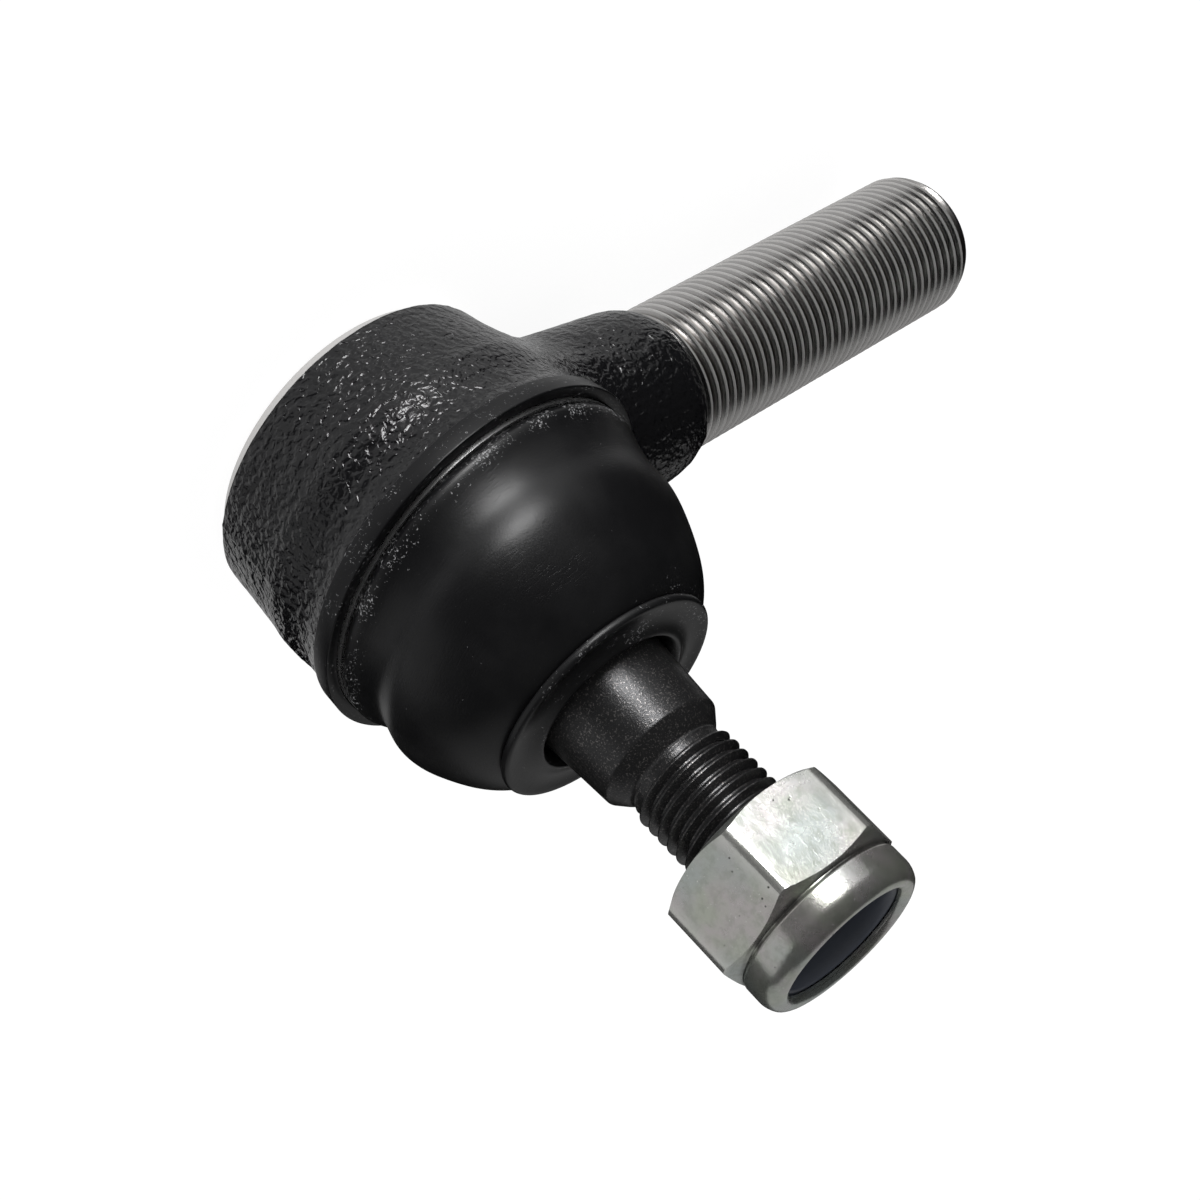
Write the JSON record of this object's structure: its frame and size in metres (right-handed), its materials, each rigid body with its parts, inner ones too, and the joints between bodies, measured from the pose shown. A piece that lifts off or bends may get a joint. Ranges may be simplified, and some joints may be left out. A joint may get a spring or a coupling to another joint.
{
  "type": "tie rod end",
  "caption": "Steering tie rod end: forged socket on a threaded shank, ball stud with a taper, rubber dust boot and a nylon-insert lock nut.",
  "frame": {"origin": "centre of the housing's flat back rim, on the socket's axis", "axes": "+Z along the socket's axis from the closed back to the stud, +X along the threaded shank, +Y to complete a right-handed frame"},
  "size_m": [0.1193, 0.0486, 0.0867],
  "materials": {
    "housing": "glossy black paint over a forged skin, bare machined steel on the shank and rim",
    "stud": "black phosphate on ground steel",
    "bearing": "moulded acetal",
    "spring": "tempered spring steel",
    "cover": "pressed sheet, zinc plated",
    "boot": "smooth black chloroprene",
    "rings": "bright steel",
    "nut": "zinc plated with a pale passivated tint",
    "insert": "dark nylon"
  },
  "bodies": {
    "housing": {"housing": "housing", "upper_bearing": "bearing", "lower_bearing": "bearing", "preload_spring": "spring", "end_cover": "cover", "boot_base_ring": "rings"},
    "boot": {"dust_boot": "boot"},
    "boot_lip": {"lip_ring": "rings"},
    "stud": {"ball_stud": "stud"},
    "nut_carrier": {"nut_insert": "insert"},
    "nut": {"lock_nut": "nut"}
  },
  "joints": [
    {"name": "tilt_x", "type": "hinge", "parent": "housing", "child": "boot", "pos_m": [0, 0, 0.0139], "axis": [1, 0, 0], "range_deg": [-20.4, 13.6], "deforming": ["dust_boot"]},
    {"name": "tilt_y", "type": "hinge", "parent": "boot", "child": "boot_lip", "pos_m": [0, 0, 0.0139], "axis": [0, 0.9982, 0.0593], "range_deg": [-13.4, 20.6], "deforming": ["dust_boot"]},
    {"name": "stud_spin", "type": "hinge", "parent": "boot_lip", "child": "stud", "pos_m": [0, 0, 0.0139], "axis": [-0.0628, -0.0592, 0.9963], "continuous": true},
    {"name": "nut_travel", "type": "slide", "parent": "stud", "child": "nut_carrier", "axis": [-0.0628, -0.0592, 0.9963], "range_m": [-0.0095, 0.0094]},
    {"name": "nut_spin", "type": "hinge", "parent": "nut_carrier", "child": "nut", "pos_m": [-0.00402, -0.00379, 0.07776], "axis": [-0.0628, -0.0592, 0.9963], "range_deg": [-2290, 2270]}
  ],
  "couplings": [
    {"joint": "nut_spin", "follows": "nut_travel", "rad_per_m": 4188.8}
  ]
}
